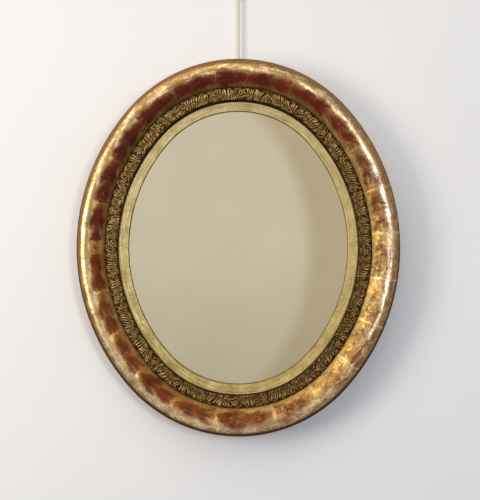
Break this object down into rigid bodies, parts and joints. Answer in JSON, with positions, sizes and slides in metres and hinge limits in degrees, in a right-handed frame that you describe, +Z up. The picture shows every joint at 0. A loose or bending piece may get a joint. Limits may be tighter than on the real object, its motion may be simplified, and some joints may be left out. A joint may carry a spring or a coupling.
{
  "type": "oval mirror",
  "caption": "Oval wall mirror in a gilded cushion moulding with a leaf ornament and an inner slip, hung from a ring and cord.",
  "frame": {"origin": "point on the wall plane where the wall hook carries the upper loop of the cord, under the inside top of that loop", "axes": "+Z up along the cord, front of the mirror faces -Y, wall plane is Y = 0, +X to the right as the viewer sees it"},
  "size_m": [0.514, 0.0525, 0.7405],
  "materials": {
    "gilded_moulding": "gold leaf over red clay on wood, rubbed, with a painted red leaf garland",
    "gilded_ornament": "pressed chalk composition, bronzed and toned dark in the hollows",
    "gilded_liner": "pale gold leaf on wood, satin",
    "silvered_glass": "silvered plate glass",
    "raw_wood": "unfinished softwood",
    "pine_board": "planed pine, aged and dusty",
    "iron_nail": "dark rusted iron",
    "brass_hanger": "dull brass",
    "cotton_cord": "braided cotton, cream"
  },
  "bodies": {
    "suspension": {"hanging_ring": "brass_hanger", "ring_loop": "cotton_cord", "ring_knot": "cotton_cord", "hanging_cord": "cotton_cord", "hook_knot": "cotton_cord", "hook_loop": "cotton_cord"},
    "mirror": {"frame_top": "gilded_moulding", "frame_right": "gilded_moulding", "frame_bottom": "gilded_moulding", "frame_left": "gilded_moulding", "ornament_top": "gilded_ornament", "ornament_right": "gilded_ornament", "ornament_bottom": "gilded_ornament", "ornament_left": "gilded_ornament", "liner_top": "gilded_liner", "liner_right": "gilded_liner", "liner_bottom": "gilded_liner", "liner_left": "gilded_liner", "joint_tenons": "raw_wood", "mirror_glass": "silvered_glass", "glass_blocks": "raw_wood", "back_board_left": "pine_board", "back_board_centre": "pine_board", "back_board_right": "pine_board", "board_nails": "iron_nail", "hanger_plate": "brass_hanger", "hanger_screws": "brass_hanger"}
  },
  "joints": [
    {"name": "mirror_swing", "type": "hinge", "parent": "suspension", "child": "mirror", "pos_m": [0, -0.00575, -0.1675], "axis": [-1, 0, 0], "range_deg": [0, 16]}
  ]
}
